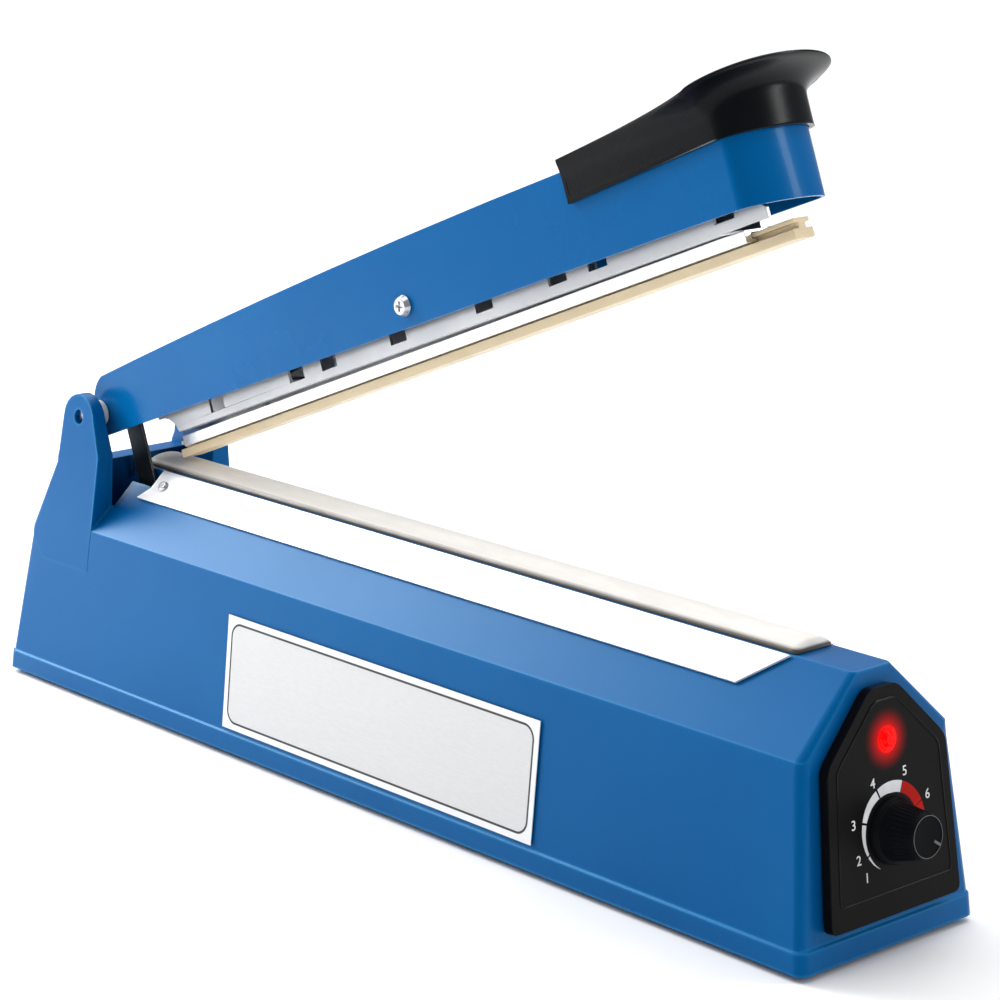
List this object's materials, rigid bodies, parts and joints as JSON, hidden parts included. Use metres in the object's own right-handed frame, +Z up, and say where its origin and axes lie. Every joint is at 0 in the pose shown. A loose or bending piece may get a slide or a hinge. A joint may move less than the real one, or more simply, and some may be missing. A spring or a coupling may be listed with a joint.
{
  "type": "impulse heat sealer",
  "caption": "Hand impulse heat sealer: long moulded base with a heated jaw, a hinged lever arm with a sprung pressure bar and grip, and a leaning dial end with a timer knob.",
  "frame": {"origin": "centre of the object's outline in X and Y, at the plane the feet stand on", "axes": "+X along the body towards the dial end, +Y towards the far side, away from the label, +Z up"},
  "size_m": [0.4661, 0.084, 0.2845],
  "materials": {
    "blue_plastic": "satin",
    "blue_paint": "semi-gloss",
    "black_plastic": "satin",
    "panel_plastic": "fine texture with a gloss edge",
    "black_rubber": "matt",
    "zinc_steel": "zinc plated",
    "dark_steel": "blackened",
    "spring_steel": "bright drawn wire",
    "carrier_steel": "grey",
    "bright_aluminium": "satin",
    "nichrome": "rolled",
    "brass": "plain",
    "core_iron": "varnished laminations",
    "winding_copper": "taped",
    "label_film": "printed film",
    "ptfe_cloth": "coated",
    "glass_cloth": "coated",
    "silicone": "translucent",
    "white_nylon": "natural",
    "circuit_board": "solder mask",
    "relay_case": "moulded",
    "capacitor_sleeve": "shrink sleeve",
    "lead_insulation": "extruded",
    "red_lens": "clear moulded"
  },
  "bodies": {
    "base": {"housing": "blue_plastic", "cord_inlet": "black_plastic", "switch_body": "black_plastic", "dial_panel": "panel_plastic", "foot_rear_near": "black_rubber", "foot_rear_far": "black_rubber", "foot_front_near": "black_rubber", "foot_front_far": "black_rubber", "bottom_plate": "zinc_steel", "foot_screw_rear_near": "zinc_steel", "foot_screw_rear_far": "zinc_steel", "foot_screw_front_near": "zinc_steel", "foot_screw_front_far": "zinc_steel", "plate_screw_near": "zinc_steel", "plate_screw_far": "zinc_steel", "transformer_foot": "zinc_steel", "switch_bracket": "zinc_steel", "potentiometer": "zinc_steel", "hinge_pin": "zinc_steel", "lifting_spring": "spring_steel", "cover_plate_near": "bright_aluminium", "cover_plate_far": "bright_aluminium", "heating_rail": "bright_aluminium", "heating_band": "nichrome", "element_terminal_rear": "brass", "element_terminal_front": "brass", "transformer_core": "core_iron", "transformer_winding": "winding_copper", "side_label": "label_film", "ptfe_cloth": "ptfe_cloth", "insulation_strip": "glass_cloth", "hinge_bush_near": "white_nylon", "hinge_bush_far": "white_nylon", "terminal_strip": "white_nylon", "timer_board": "circuit_board", "timer_relay": "relay_case", "timer_capacitor": "capacitor_sleeve", "lead_primary": "lead_insulation", "lead_switch": "lead_insulation", "lead_timer": "lead_insulation", "lead_element_rear": "lead_insulation", "lead_element_front": "lead_insulation", "indicator_lamp": "red_lens"},
    "arm": {"arm_channel": "blue_paint", "grip": "black_plastic", "switch_striker": "dark_steel", "pivot_screw": "zinc_steel", "pivot_nut": "zinc_steel"},
    "bar": {"pressure_carrier": "carrier_steel", "pressure_bar": "bright_aluminium", "silicone_strip": "silicone", "bar_stud_rear": "zinc_steel", "bar_stud_front": "zinc_steel", "bar_spring": "spring_steel"},
    "knob": {"timer_knob": "black_plastic", "dial_shaft": "zinc_steel"},
    "lever": {"switch_lever": "zinc_steel"},
    "plunger": {"switch_plunger": "white_nylon"}
  },
  "joints": [
    {"name": "arm_hinge", "type": "hinge", "parent": "base", "child": "arm", "pos_m": [-0.18959, 0, 0.1134], "axis": [0, 1, 0], "range_deg": [0, 18.17], "stiffness_Nm_per_rad": 3, "springref_deg": -57.3, "deforming": ["lifting_spring"]},
    {"name": "bar_pivot", "type": "hinge", "parent": "arm", "child": "bar", "pos_m": [0.00109, 0, 0.18336], "axis": [0, 1, 0], "range_deg": [0, 3.09], "deforming": ["bar_spring"]},
    {"name": "timer_dial", "type": "hinge", "parent": "base", "child": "knob", "pos_m": [0.21388, 0, 0.0406], "axis": [0.9925, 0, 0.1219], "range_deg": [-10, 262]},
    {"name": "switch_lever", "type": "hinge", "parent": "base", "child": "lever", "pos_m": [-0.14739, -0.0125, 0.0668], "axis": [0, -1, 0], "range_deg": [0, 2.8]},
    {"name": "switch_plunger", "type": "slide", "parent": "base", "child": "plunger", "axis": [0, 0, -1], "range_m": [0, 0.0005]}
  ],
  "couplings": [
    {"joint": "bar_pivot", "follows": "arm_hinge", "ratio": 0.17},
    {"joint": "switch_lever", "follows": "arm_hinge", "ratio": 0.154},
    {"joint": "switch_plunger", "follows": "arm_hinge", "m_per_rad": 0.00157}
  ]
}
